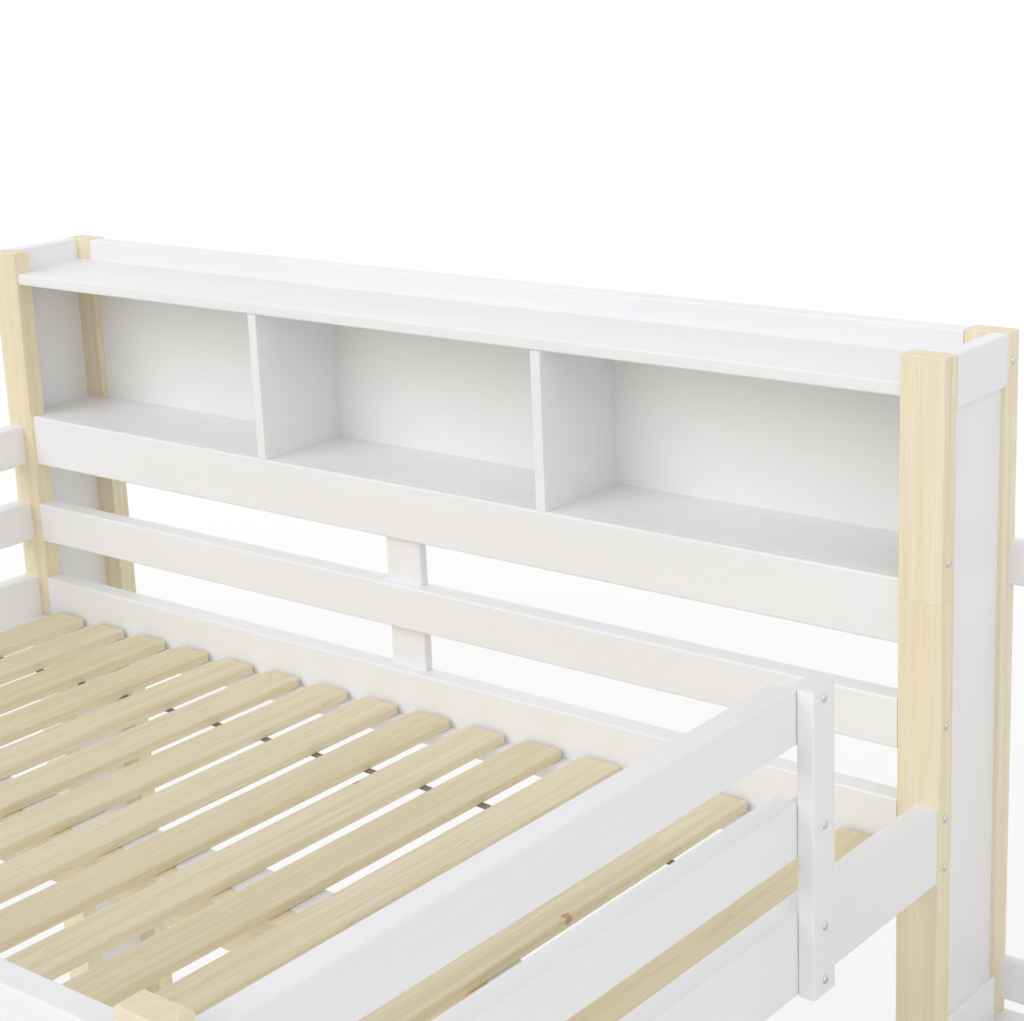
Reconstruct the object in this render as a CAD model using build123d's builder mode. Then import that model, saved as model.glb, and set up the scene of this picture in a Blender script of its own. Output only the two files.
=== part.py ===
from build123d import *
import os

# Loft bed with a shelf along the wall, all lengths in millimetres.
# X runs along the bed, +Y points at the wall and +Z is up. The origin is on the floor, under
# the middle of the bounding box. LEFT and RIGHT are the ends as seen from the room.
LEFT = -1
RIGHT = 1
SIDE_NAMES = {LEFT: "left", RIGHT: "right"}

# Overall sizes
total_height = 2000
bed_length = 2090
clear_width = 1420
wall_frame_depth = 230

# Posts and their eased edges
post_width = 70
post_depth = 38
post_edge_ease = 3
post_top_bevel = 2
near_post_drop = 320

# Rails of the bed frame: drops are measured down from the top of the wall posts
rail_thickness = 38
near_guard_thickness = 35
rail_height = 79
rail_gap = 79
top_rail_drop = 354
side_rail_height = 120
end_rail_inset = 3
edge_ease = 4
stile_width = 79
stile_thickness = 19

# Guard board that closes the guard rails beside the entry
guard_board_thickness = 26
guard_board_width = 55
entry_width = 334
guard_tongue_thickness = 12

# Shelf built between the wall posts
shelf_set_back = 6
shelf_top_drop = 41
shelf_top_thickness = 22
fascia_drop = 330
fascia_height = 100
fascia_thickness = 19
shelf_floor_thickness = 18
divider_thickness = 19
divider_spacing = 643
housing_depth = 5
back_panel_thickness = 9
back_panel_set_back = 12
rear_rail_thickness = 28
rear_rail_height = 79
rear_rail_drop = 1

# Framed panels that close the two ends of the wall frame
side_frame_thickness = 28
side_frame_rail_height = 79
side_middle_rail_drop = 1028
side_bottom_rail_foot = 60
side_panel_thickness = 9
side_panel_inset = 9.6
groove_depth = 8
panel_play = 0.2

# Slatted base
slat_width = 80
slat_thickness = 18
slat_pitch = 121.7
first_slat_inset = 103
last_slat_room = 50
slat_end_gap = 8
slat_edge_ease = 2
slat_drop = 735
ledger_width = 30
ledger_height = 30
tape_width = 16
tape_thickness = 2
tape_inset = 209
beam_inset = 570
beam_cap_width = 77
beam_cap_height = 28
beam_web_width = 38
beam_web_height = 79

# Heads of the bolts, with few sides because they are small and many
bolt_head_radius = 6.2
bolt_head_height = 3
bolt_head_rim = 1
bolt_head_crown = 3.6
bolt_head_sides = 12
spare_bolt_drop = 300
side_rail_bolt_margin = 21
top_guard_bolt_drop = 16
middle_guard_bolt_drop = 34
end_bolt_inset = 27
end_bolt_rise = 18
rear_bolt_drop = 44

# Stair with a landing at the right end
stair_width = 420
landing_length = 390
landing_gap = 28
stair_post_thickness = 38
stair_post_width = 70
stair_post_drop = 300
stair_rail_thickness = 21
stair_rail_height = 69
stair_rail_set_back = 16
stair_top_rail_drop = 316
stair_low_rail_drop = 1003
stair_rail_ease = 5
tread_thickness = 22
rise_count = 4
going = 240
stringer_thickness = 28
stringer_above_nosing = 25
stringer_below_nosing = 275
stringer_toe = 30
stringer_corner = 12
bearer_thickness = 28
bearer_height = 79

# Places that follow from the sizes
overall_length = bolt_head_height + bed_length + stair_width
overall_depth = wall_frame_depth + clear_width + post_depth + bolt_head_height
bed_centre_x = bolt_head_height + bed_length / 2 - overall_length / 2
wall_plane_y = overall_depth / 2 - wall_frame_depth
near_plane_y = wall_plane_y - clear_width
right_face_x = bed_centre_x + bed_length / 2
rail_pitch = rail_height + rail_gap
middle_rail_drop = top_rail_drop + rail_pitch
side_rail_drop = top_rail_drop + 2 * rail_pitch
end_rail_inner = end_rail_inset + rail_thickness
rear_post_front = wall_frame_depth - post_depth
back_panel_front = rear_post_front + back_panel_set_back
entry_edge = entry_width + guard_board_width
landing_top = total_height - stair_low_rail_drop - stair_rail_height - landing_gap
landing_front_y = wall_plane_y - landing_length
rise = landing_top / rise_count
slat_room = bed_length - first_slat_inset - slat_width - last_slat_room
slat_count = 1 + int(slat_room // slat_pitch)


def middle(span):
    """Middle of a span."""
    return (span[0] + span[1]) / 2


def length(span):
    """Length of a span."""
    return span[1] - span[0]


def inside(side, near, far):
    """X span between two distances inside the outer face of one end of the bed."""
    ends = [bed_centre_x + side * (bed_length / 2 - distance) for distance in (near, far)]
    return min(ends), max(ends)


def behind(near, far):
    """Y span between two distances behind the front plane of the wall posts."""
    return wall_plane_y + near, wall_plane_y + far


def before(near, far):
    """Y span between two distances in front of the front plane of the wall posts."""
    return wall_plane_y - far, wall_plane_y - near


def below_top(drop, height):
    """Z span of a piece whose top lies a drop below the top of the wall posts."""
    return total_height - drop - height, total_height - drop


def board_along_x(x, y, z, ease=edge_ease):
    """Board that runs along X, with its four long edges rounded."""
    with BuildPart() as board:
        with BuildSketch(Plane.YZ.offset(x[0])):
            with Locations((middle(y), middle(z))):
                RectangleRounded(length(y), length(z), ease)
        extrude(amount=length(x))
    return board.part


def board_along_y(x, y, z, ease=edge_ease):
    """Board that runs along Y, with its four long edges rounded."""
    with BuildPart() as board:
        with BuildSketch(Plane.XZ.offset(-y[1])):
            with Locations((middle(x), middle(z))):
                RectangleRounded(length(x), length(z), ease)
        extrude(amount=length(y))
    return board.part


def board_along_z(x, y, z, ease=edge_ease):
    """Board or post that stands along Z, with its four long edges rounded."""
    with BuildPart() as board:
        with BuildSketch(Plane.XY.offset(z[0])):
            with Locations((middle(x), middle(y))):
                RectangleRounded(length(x), length(y), ease)
        extrude(amount=length(z))
    return board.part


def cut_block(x, y, z):
    """Take a rectangular housing, groove or notch out of the piece in work."""
    with BuildSketch(Plane.XY.offset(z[0])) as outline:
        with Locations((middle(x), middle(y))):
            Rectangle(length(x), length(y))
    extrude(outline.sketch, amount=length(z), mode=Mode.SUBTRACT)


def bevel_top(post):
    """Bevel the top end of a post."""
    chamfer(post.faces().sort_by(Axis.Z)[-1].edges(), post_top_bevel)


def save(piece, label):
    """Label a finished piece and write its file."""
    piece.part.label = label
    export_step(piece.part, f"parts/{label}.step")


os.makedirs("parts", exist_ok=True)

# Spans that several pieces share
between_posts = (inside(LEFT, 0, post_width)[1], inside(RIGHT, 0, post_width)[0])
between_end_rails = (inside(LEFT, 0, end_rail_inner)[1], inside(RIGHT, 0, end_rail_inner)[0])
rail_y = behind(0, post_depth)
near_post_y = before(clear_width, clear_width + post_depth)
near_guard_y = before(clear_width, clear_width + near_guard_thickness)
top_guard_z = below_top(top_rail_drop, rail_height)
middle_guard_z = below_top(middle_rail_drop, rail_height)
side_rail_z = below_top(side_rail_drop, side_rail_height)
side_rail_bolt_z = (side_rail_z[0] + side_rail_bolt_margin, side_rail_z[1] - side_rail_bolt_margin)
end_side_rail_bolt_z = (middle(side_rail_z) - end_bolt_rise, middle(side_rail_z) + end_bolt_rise)
guard_board_y = before(entry_width, entry_edge)
near_post_top = total_height - near_post_drop

# Heights of the bolts in each row, by what they hold
middle_guard_bolt_z = middle_guard_z[1] - middle_guard_bolt_drop
wall_bolt_z = (total_height - spare_bolt_drop, middle_guard_bolt_z, *side_rail_bolt_z)
near_bolt_z = (middle(top_guard_z), middle(middle_guard_z), *side_rail_bolt_z)
guard_board_bolt_z = (top_guard_z[1] - top_guard_bolt_drop, middle_guard_bolt_z, *side_rail_bolt_z)
guard_end_bolt_z = (middle(top_guard_z) + end_bolt_rise, middle(middle_guard_z) + end_bolt_rise)
end_bolt_z = {
    LEFT: (*guard_end_bolt_z, *end_side_rail_bolt_z),
    RIGHT: end_side_rail_bolt_z,
}


def outer_face_x(side):
    """X of the outer face of the posts at one end."""
    return bed_centre_x + side * bed_length / 2


def end_bolt_x(side):
    """X of the bolts that hold the end rails."""
    return bed_centre_x + side * (bed_length / 2 - end_bolt_inset)


def wall_bolt_places(side):
    """Seats of the bolts in the outer faces of the wall posts at one end."""
    front = [(outer_face_x(side), middle(rail_y), z) for z in wall_bolt_z]
    rear_y = middle(behind(rear_post_front, wall_frame_depth))
    return [*front, (outer_face_x(side), rear_y, total_height - rear_bolt_drop)]


def near_bolt_places(side):
    """Seats of the bolts through a near post into the near rails."""
    return [(outer_face_x(side), middle(near_post_y), z) for z in near_bolt_z]


def wall_end_bolt_places(side):
    """Seats of the bolts from behind a front wall post into the end rails."""
    return [(end_bolt_x(side), rail_y[1], z) for z in end_bolt_z[side]]


def near_end_bolt_places(side):
    """Seats of the bolts from the front of a near post into the end rails."""
    return [(end_bolt_x(side), near_post_y[0], z) for z in end_bolt_z[LEFT]]


def guard_board_bolt_places():
    """Seats of the bolts through the guard board into the rails at the right end."""
    x = right_face_x - end_rail_inset + guard_board_thickness
    return [(x, middle(guard_board_y), z) for z in guard_board_bolt_z]


# Posts

side_frame_top_z = below_top(rear_rail_drop, side_frame_rail_height)
side_frame_middle_z = below_top(side_middle_rail_drop, side_frame_rail_height)
side_frame_bottom_z = (side_bottom_rail_foot, side_bottom_rail_foot + side_frame_rail_height)
panel_groove_z = (side_frame_bottom_z[1] - groove_depth, side_frame_top_z[0] + groove_depth)
rear_rail_z = below_top(rear_rail_drop, rear_rail_height)
shelf_top_z = below_top(shelf_top_drop, shelf_top_thickness)
shelf_floor_z = below_top(fascia_drop, shelf_floor_thickness)
back_panel_y = behind(back_panel_front, back_panel_front + back_panel_thickness)
back_panel_z = (shelf_floor_z[0], rear_rail_z[0] + groove_depth)


def side_panel_x(side):
    """X span of the thin panels at one end of the wall frame."""
    return inside(side, side_panel_inset, side_panel_inset + side_panel_thickness)


for side in (LEFT, RIGHT):
    post_x = inside(side, 0, post_width)

    with BuildPart() as front_post:
        add(board_along_z(post_x, rail_y, (0, total_height), post_edge_ease))
        bevel_top(front_post)
        cut_block(side_panel_x(side), behind(post_depth - groove_depth, post_depth), panel_groove_z)
    save(front_post, f"front_post_{SIDE_NAMES[side]}")

    with BuildPart() as rear_post:
        add(
            board_along_z(
                post_x, behind(rear_post_front, wall_frame_depth), (0, total_height), post_edge_ease
            )
        )
        bevel_top(rear_post)
        cut_block(
            side_panel_x(side), behind(rear_post_front, rear_post_front + groove_depth), panel_groove_z
        )
        cut_block(inside(side, post_width - groove_depth, post_width), back_panel_y, back_panel_z)
    save(rear_post, f"rear_post_{SIDE_NAMES[side]}")

    with BuildPart() as near_post:
        add(board_along_z(post_x, near_post_y, (0, near_post_top), post_edge_ease))
        bevel_top(near_post)
    save(near_post, f"near_post_{SIDE_NAMES[side]}")


# Rails along the wall side and the near side

with BuildPart() as wall_guard_rail:
    add(board_along_x(between_posts, rail_y, middle_guard_z))
save(wall_guard_rail, "wall_guard_rail")

with BuildPart() as wall_side_rail:
    add(board_along_x(between_posts, rail_y, side_rail_z))
save(wall_side_rail, "wall_side_rail")

for name, rail_span_y, rail_z in (
    ("near_top_guard_rail", near_guard_y, top_guard_z),
    ("near_lower_guard_rail", near_guard_y, middle_guard_z),
    ("near_side_rail", near_post_y, side_rail_z),
):
    with BuildPart() as near_rail:
        add(board_along_x(between_posts, rail_span_y, rail_z))
    save(near_rail, name)

# Short upright stiles that tie the rails together at mid length
fascia_z = below_top(fascia_drop, fascia_height)
stile_x = (bed_centre_x - stile_width / 2, bed_centre_x + stile_width / 2)
wall_stile_y = behind(rail_thickness - stile_thickness, rail_thickness)
near_stile_y = before(
    clear_width + near_guard_thickness - stile_thickness, clear_width + near_guard_thickness
)
lower_stile_z = (side_rail_z[1], middle_guard_z[0])
for name, stile_y, upper_stile_z in (
    ("wall_stiles", wall_stile_y, (middle_guard_z[1], fascia_z[0])),
    ("near_stiles", near_stile_y, (middle_guard_z[1], top_guard_z[0])),
):
    with BuildPart() as stiles:
        add(board_along_z(stile_x, stile_y, upper_stile_z))
        add(board_along_z(stile_x, stile_y, lower_stile_z))
    save(stiles, name)


# Rails across the two ends

end_rails = (
    ("top_guard_rail", top_guard_z),
    ("lower_guard_rail", middle_guard_z),
    ("end_side_rail", side_rail_z),
)
for side in (LEFT, RIGHT):
    for name, rail_z in end_rails:
        stops_at_entry = side == RIGHT and name != "end_side_rail"
        far_end = entry_width if stops_at_entry else 0
        rail_x = inside(side, end_rail_inset, end_rail_inner)
        with BuildPart() as end_rail:
            add(board_along_y(rail_x, before(far_end, clear_width), rail_z))
            if stops_at_entry:
                # The end is rebated to a thin tongue that lies behind the guard board.
                tongue_x = end_rail_inset + guard_tongue_thickness
                cut_block(inside(side, tongue_x, end_rail_inner), guard_board_y, rail_z)
        save(end_rail, f"{SIDE_NAMES[side]}_{name}")

guard_board_x = (
    right_face_x - end_rail_inset, right_face_x - end_rail_inset + guard_board_thickness
)
with BuildPart() as guard_board:
    add(board_along_z(guard_board_x, guard_board_y, (side_rail_z[0], top_guard_z[1])))
save(guard_board, "guard_board")


# Shelf along the wall

fascia_y = behind(shelf_set_back, shelf_set_back + fascia_thickness)
rear_rail_y = behind(rear_post_front, rear_post_front + rear_rail_thickness)
divider_centres = (bed_centre_x - divider_spacing / 2, bed_centre_x + divider_spacing / 2)


def divider_x(centre):
    """X span of a divider."""
    return centre - divider_thickness / 2, centre + divider_thickness / 2


with BuildPart() as shelf_top_board:
    # A wide front between the posts, and two ears that reach the side frames behind them.
    with BuildSketch(Plane.XY.offset(shelf_top_z[0])):
        with Locations((bed_centre_x, middle(behind(shelf_set_back, rear_post_front)))):
            Rectangle(length(between_posts), rear_post_front - shelf_set_back)
        with Locations((bed_centre_x, middle(behind(post_depth, rear_post_front)))):
            Rectangle(bed_length - 2 * side_frame_thickness, rear_post_front - post_depth)
    extrude(amount=shelf_top_thickness)
    front_edges = shelf_top_board.edges().filter_by(Axis.X).group_by(Axis.Y)[0]
    fillet(front_edges, edge_ease)
    for centre in divider_centres:
        cut_block(
            divider_x(centre),
            behind(shelf_set_back + fascia_thickness, rear_post_front),
            (shelf_top_z[0], shelf_top_z[0] + housing_depth),
        )
save(shelf_top_board, "shelf_top_board")

with BuildPart() as shelf_floor_board:
    # The floor is notched round all four posts and butts against the back of the fascia.
    floor_y = (fascia_y[1], back_panel_y[0])
    side_gap = side_panel_inset + side_panel_thickness
    with BuildSketch(Plane.XY.offset(shelf_floor_z[0])):
        with Locations((bed_centre_x, middle(floor_y))):
            Rectangle(length(between_posts), length(floor_y))
        with Locations((bed_centre_x, middle(behind(post_depth, rear_post_front)))):
            Rectangle(bed_length - 2 * side_gap, rear_post_front - post_depth)
    extrude(amount=shelf_floor_thickness)
    for centre in divider_centres:
        cut_block(
            divider_x(centre), floor_y, (shelf_floor_z[1] - housing_depth, shelf_floor_z[1])
        )
save(shelf_floor_board, "shelf_floor_board")

with BuildPart() as shelf_fascia:
    add(board_along_x(between_posts, fascia_y, fascia_z))
save(shelf_fascia, "shelf_fascia")

for side, centre in zip((LEFT, RIGHT), divider_centres):
    with BuildPart() as shelf_divider:
        # Tongues at the top and foot sit in stopped housings, behind the line of the fascia.
        with BuildSketch(Plane.YZ.offset(divider_x(centre)[0])):
            with BuildLine():
                Polyline(
                    (fascia_y[0], shelf_floor_z[1]),
                    (fascia_y[0], shelf_top_z[0]),
                    (fascia_y[1], shelf_top_z[0]),
                    (fascia_y[1], shelf_top_z[0] + housing_depth),
                    (rear_rail_y[0], shelf_top_z[0] + housing_depth),
                    (rear_rail_y[0], rear_rail_z[0]),
                    (back_panel_y[0], rear_rail_z[0]),
                    (back_panel_y[0], shelf_floor_z[1] - housing_depth),
                    (fascia_y[1], shelf_floor_z[1] - housing_depth),
                    (fascia_y[1], shelf_floor_z[1]),
                    close=True,
                )
            make_face()
        extrude(amount=divider_thickness)
    save(shelf_divider, f"shelf_divider_{SIDE_NAMES[side]}")

with BuildPart() as shelf_back_panel:
    reach = groove_depth - panel_play
    panel_x = (between_posts[0] - reach, between_posts[1] + reach)
    with BuildSketch(Plane.XZ.offset(-back_panel_y[1])):
        with Locations((bed_centre_x, middle((back_panel_z[0], back_panel_z[1] - panel_play)))):
            Rectangle(length(panel_x), length(back_panel_z) - panel_play)
    extrude(amount=back_panel_thickness)
save(shelf_back_panel, "shelf_back_panel")

with BuildPart() as rear_top_rail:
    add(board_along_x(between_posts, rear_rail_y, rear_rail_z))
    cut_block(between_posts, back_panel_y, (rear_rail_z[0], back_panel_z[1]))
save(rear_top_rail, "rear_top_rail")


# Framed panels at the ends of the wall frame

side_frame_y = behind(post_depth, rear_post_front)
for side in (LEFT, RIGHT):
    frame_x = inside(side, 0, side_frame_thickness)
    for name, rail_z, edges in (
        ("side_top_rail", side_frame_top_z, ("lower",)),
        ("side_middle_rail", side_frame_middle_z, ("upper", "lower")),
        ("side_bottom_rail", side_frame_bottom_z, ("upper",)),
    ):
        grooves = {
            "upper": (rail_z[1] - groove_depth, rail_z[1]),
            "lower": (rail_z[0], rail_z[0] + groove_depth),
        }
        with BuildPart() as side_rail:
            add(board_along_y(frame_x, side_frame_y, rail_z))
            for edge in edges:
                cut_block(side_panel_x(side), side_frame_y, grooves[edge])
        save(side_rail, f"{name}_{SIDE_NAMES[side]}")

    for name, lower_rail_z, upper_rail_z in (
        ("side_panel_upper", side_frame_middle_z, side_frame_top_z),
        ("side_panel_lower", side_frame_bottom_z, side_frame_middle_z),
    ):
        reach = groove_depth - panel_play
        panel_y = (side_frame_y[0] - reach, side_frame_y[1] + reach)
        panel_z = (lower_rail_z[1] - reach, upper_rail_z[0] + reach)
        with BuildPart() as side_panel:
            with BuildSketch(Plane.YZ.offset(side_panel_x(side)[0])):
                with Locations((middle(panel_y), middle(panel_z))):
                    Rectangle(length(panel_y), length(panel_z))
            extrude(amount=side_panel_thickness)
        save(side_panel, f"{name}_{SIDE_NAMES[side]}")


# Slatted base

slat_z = below_top(slat_drop, slat_thickness)
slat_y = before(slat_end_gap, clear_width - slat_end_gap)
first_slat_x = inside(LEFT, first_slat_inset, first_slat_inset + slat_width)[0]
slat_starts = [first_slat_x + index * slat_pitch for index in range(slat_count)]

with BuildPart() as slats:
    with BuildSketch(Plane.XZ.offset(-slat_y[1])) as slat_ends:
        with Locations(*[(start + slat_width / 2, middle(slat_z)) for start in slat_starts]):
            Rectangle(slat_width, slat_thickness)
        chamfer(slat_ends.vertices(), slat_edge_ease)
    extrude(amount=length(slat_y))
save(slats, "slats")

ledger_z = (slat_z[0] - ledger_height, slat_z[0])
for name, ledger_y in (
    ("wall_slat_ledger", before(0, ledger_width)),
    ("near_slat_ledger", before(clear_width - ledger_width, clear_width)),
):
    with BuildPart() as ledger:
        add(board_along_x(between_end_rails, ledger_y, ledger_z, slat_edge_ease))
    save(ledger, name)

with BuildPart() as slat_tapes:
    tape_x = (slat_starts[0], slat_starts[-1] + slat_width)
    for tape_y in (
        before(tape_inset, tape_inset + tape_width),
        before(clear_width - tape_inset - tape_width, clear_width - tape_inset),
    ):
        with BuildSketch(Plane.XY.offset(slat_z[0] - tape_thickness)):
            with Locations((middle(tape_x), middle(tape_y))):
                Rectangle(length(tape_x), tape_width)
        extrude(amount=tape_thickness)
save(slat_tapes, "slat_tapes")

beam_cap_y = before(beam_inset, beam_inset + beam_cap_width)
beam_web_y = before(beam_inset + beam_cap_width, beam_inset + beam_cap_width + beam_web_width)
with BuildPart() as slat_beam_cap:
    beam_cap_z = (slat_z[0] - beam_cap_height, slat_z[0])
    add(board_along_x(between_end_rails, beam_cap_y, beam_cap_z))
save(slat_beam_cap, "slat_beam_cap")

with BuildPart() as slat_beam_web:
    beam_web_z = (slat_z[0] - beam_web_height, slat_z[0])
    add(board_along_x(between_end_rails, beam_web_y, beam_web_z))
save(slat_beam_web, "slat_beam_web")


# Bolts

with BuildPart(mode=Mode.PRIVATE) as bolt_head:
    # A low rim, then a dome drawn in to its crown
    for height, radius in (
        (0, bolt_head_radius),
        (bolt_head_rim, bolt_head_radius),
        (bolt_head_height, bolt_head_crown),
    ):
        with BuildSketch(Plane.XY.offset(height)):
            RegularPolygon(radius, bolt_head_sides)
    loft(ruled=True)


def add_bolts(places, direction):
    """Add one bolt head at each place, standing out along the direction."""
    with Locations(*[Plane(origin=place, z_dir=direction) for place in places]):
        add(bolt_head.part)


with BuildPart() as wall_post_bolts:
    for side in (LEFT, RIGHT):
        add_bolts(wall_bolt_places(side), (side, 0, 0))
        add_bolts(wall_end_bolt_places(side), (0, 1, 0))
save(wall_post_bolts, "wall_post_bolts")

with BuildPart() as near_post_bolts:
    for side in (LEFT, RIGHT):
        add_bolts(near_bolt_places(side), (side, 0, 0))
        add_bolts(near_end_bolt_places(side), (0, -1, 0))
save(near_post_bolts, "near_post_bolts")

with BuildPart() as guard_board_bolts:
    add_bolts(guard_board_bolt_places(), (1, 0, 0))
save(guard_board_bolts, "guard_board_bolts")


# Stair with a landing at the right end

stair_x = (right_face_x, right_face_x + stair_width)
stair_post_x = (stair_x[1] - stair_post_thickness, stair_x[1])
stair_leg_x = (stair_x[0], stair_x[0] + stair_post_thickness)
stair_front_post_y = (landing_front_y, landing_front_y + stair_post_width)
stair_rear_post_y = behind(wall_frame_depth - stair_post_width, wall_frame_depth)
landing_z = (landing_top - tread_thickness, landing_top)
bearer_z = (landing_z[0] - bearer_height, landing_z[0])

for name, post_y in (
    ("stair_front_post", stair_front_post_y),
    ("stair_rear_post", stair_rear_post_y),
):
    with BuildPart() as stair_post:
        add(
            board_along_z(stair_post_x, post_y, (0, total_height - stair_post_drop), post_edge_ease)
        )
        bevel_top(stair_post)
    save(stair_post, name)

with BuildPart() as stair_leg:
    add(board_along_z(stair_leg_x, stair_front_post_y, (0, landing_z[0]), post_edge_ease))
save(stair_leg, "stair_leg")

stair_rail_levels = {
    "top": below_top(stair_top_rail_drop, stair_rail_height),
    "low": below_top(stair_low_rail_drop, stair_rail_height),
}
for level, rail_z in stair_rail_levels.items():
    rear_rail_span_y = behind(
        rear_post_front + stair_rail_set_back,
        rear_post_front + stair_rail_set_back + stair_rail_thickness,
    )
    with BuildPart() as stair_rear_rail:
        add(
            board_along_x(
                (stair_x[0], stair_post_x[0]), rear_rail_span_y, rail_z, stair_rail_ease
            )
        )
    save(stair_rear_rail, f"stair_rear_rail_{level}")

    rail_x = (
        middle(stair_post_x) - stair_rail_thickness / 2,
        middle(stair_post_x) + stair_rail_thickness / 2,
    )
    with BuildPart() as stair_side_rail:
        add(
            board_along_y(
                rail_x, (stair_front_post_y[1], stair_rear_post_y[0]), rail_z, stair_rail_ease
            )
        )
    save(stair_side_rail, f"stair_side_rail_{level}")

with BuildPart() as stair_landing:
    # The landing is notched round the two outer posts.
    with BuildSketch(Plane.XY.offset(landing_z[0])):
        landing_y = (landing_front_y, wall_plane_y + wall_frame_depth)
        with Locations((middle(stair_x), middle(landing_y))):
            Rectangle(stair_width, length(landing_y))
        for post_y in (stair_front_post_y, stair_rear_post_y):
            with Locations((middle(stair_post_x), middle(post_y))):
                Rectangle(stair_post_thickness, stair_post_width, mode=Mode.SUBTRACT)
    extrude(amount=tread_thickness)
    nosing = stair_landing.edges().filter_by(Axis.X).group_by(Axis.Y)[0]
    fillet(nosing, edge_ease)
save(stair_landing, "stair_landing")

inner_bearer_x = (stair_x[0], stair_x[0] + bearer_thickness)
outer_bearer_x = (stair_x[1] - bearer_thickness, stair_x[1])
rear_bearer_y = (landing_y[1] - bearer_thickness, landing_y[1])
front_bearer_y = (landing_y[0], landing_y[0] + bearer_thickness)
with BuildPart() as landing_side_bearers:
    add(board_along_y(inner_bearer_x, (stair_front_post_y[1], rear_bearer_y[0]), bearer_z))
    add(board_along_y(outer_bearer_x, (stair_front_post_y[1], stair_rear_post_y[0]), bearer_z))
save(landing_side_bearers, "landing_side_bearers")

with BuildPart() as landing_cross_bearers:
    add(board_along_x((stair_x[0], stair_post_x[0]), rear_bearer_y, bearer_z))
    add(board_along_x((stair_leg_x[1], stair_post_x[0]), front_bearer_y, bearer_z))
save(landing_cross_bearers, "landing_cross_bearers")

tread_reach = housing_depth - panel_play
tread_x = (
    stair_x[0] + stringer_thickness - tread_reach,
    stair_x[1] - stringer_thickness + tread_reach,
)

def tread_spans(step):
    """Y and Z spans of one tread, counted from the floor."""
    nosing_y = landing_front_y - (rise_count - step) * going
    return (nosing_y, nosing_y + going), (step * rise - tread_thickness, step * rise)


treads = [tread_spans(step) for step in range(1, rise_count)]
slope = rise / going
toe_y = landing_front_y - (rise_count - 1) * going - stringer_toe
toe_top = landing_top + stringer_above_nosing - slope * (landing_front_y - toe_y)
heel_y = landing_front_y - (landing_top - stringer_below_nosing) / slope
for name, stringer_x, housing_x in (
    ("stair_stringer_inner", inner_bearer_x, (inner_bearer_x[1] - housing_depth, inner_bearer_x[1])),
    ("stair_stringer_outer", outer_bearer_x, (outer_bearer_x[0], outer_bearer_x[0] + housing_depth)),
):
    with BuildPart() as stringer:
        # The board follows the line of the nosings, cut level on the floor and plumb at the post.
        with BuildSketch(Plane.YZ.offset(stringer_x[0])) as stringer_sketch:
            with BuildLine():
                Polyline(
                    (landing_front_y, landing_top),
                    (landing_front_y - stringer_above_nosing / slope, landing_top),
                    (toe_y, toe_top),
                    (toe_y, 0),
                    (heel_y, 0),
                    (landing_front_y, landing_top - stringer_below_nosing),
                    close=True,
                )
            make_face()
            toe_corner = stringer_sketch.vertices().group_by(Axis.X)[0].sort_by(Axis.Y)[-1]
            fillet(toe_corner, stringer_corner)
        extrude(amount=stringer_thickness)
        for tread_y, tread_z in treads:
            cut_block(housing_x, tread_y, tread_z)
    save(stringer, name)

with BuildPart() as stair_treads:
    for tread_y, tread_z in treads:
        add(board_along_x(tread_x, tread_y, tread_z))
save(stair_treads, "stair_treads")
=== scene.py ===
"""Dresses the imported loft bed: planed pine posts and slats, white lacquered boards, zinc bolts."""

import logging
import math
from dataclasses import dataclass, field
from enum import Enum

import bmesh
import bpy
from mathutils import Matrix, Vector


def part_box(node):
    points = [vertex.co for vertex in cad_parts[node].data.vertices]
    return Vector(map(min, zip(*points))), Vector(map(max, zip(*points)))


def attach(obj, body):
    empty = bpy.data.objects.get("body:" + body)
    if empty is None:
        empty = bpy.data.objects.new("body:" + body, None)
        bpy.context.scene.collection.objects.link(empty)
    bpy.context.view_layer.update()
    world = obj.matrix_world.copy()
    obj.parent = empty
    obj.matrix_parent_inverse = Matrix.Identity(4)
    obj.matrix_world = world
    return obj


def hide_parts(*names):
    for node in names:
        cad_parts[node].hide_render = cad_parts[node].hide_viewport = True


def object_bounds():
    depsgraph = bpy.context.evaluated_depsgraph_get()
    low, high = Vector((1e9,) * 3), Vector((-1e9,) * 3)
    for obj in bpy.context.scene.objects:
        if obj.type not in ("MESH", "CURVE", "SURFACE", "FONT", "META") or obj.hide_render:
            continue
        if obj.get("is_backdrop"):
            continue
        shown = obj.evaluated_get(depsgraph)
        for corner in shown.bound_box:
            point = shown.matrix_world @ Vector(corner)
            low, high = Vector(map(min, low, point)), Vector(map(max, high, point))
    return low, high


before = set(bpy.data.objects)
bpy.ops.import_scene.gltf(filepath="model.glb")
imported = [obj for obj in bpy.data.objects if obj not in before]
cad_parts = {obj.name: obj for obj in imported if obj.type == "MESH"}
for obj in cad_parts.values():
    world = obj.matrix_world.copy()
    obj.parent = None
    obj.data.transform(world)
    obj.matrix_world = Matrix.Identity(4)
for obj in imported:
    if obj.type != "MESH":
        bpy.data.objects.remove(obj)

logging.basicConfig(level=logging.INFO, format="%(name)s: %(message)s")
log = logging.getLogger("loft_bed")

MM = 0.001


def srgb(colour: str) -> tuple[float, float, float, float]:
    """Turns a hex colour to the linear values that the shaders take.

    Args:
        colour: sRGB colour, such as "#F5F4F1".

    Returns:
        Linear red, green and blue, and an alpha of 1.
    """
    channels = [int(colour[start : start + 2], 16) / 255 for start in (1, 3, 5)]
    linear = [c / 12.92 if c <= 0.04045 else ((c + 0.055) / 1.055) ** 2.4 for c in channels]
    return (*linear, 1.0)


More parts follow.
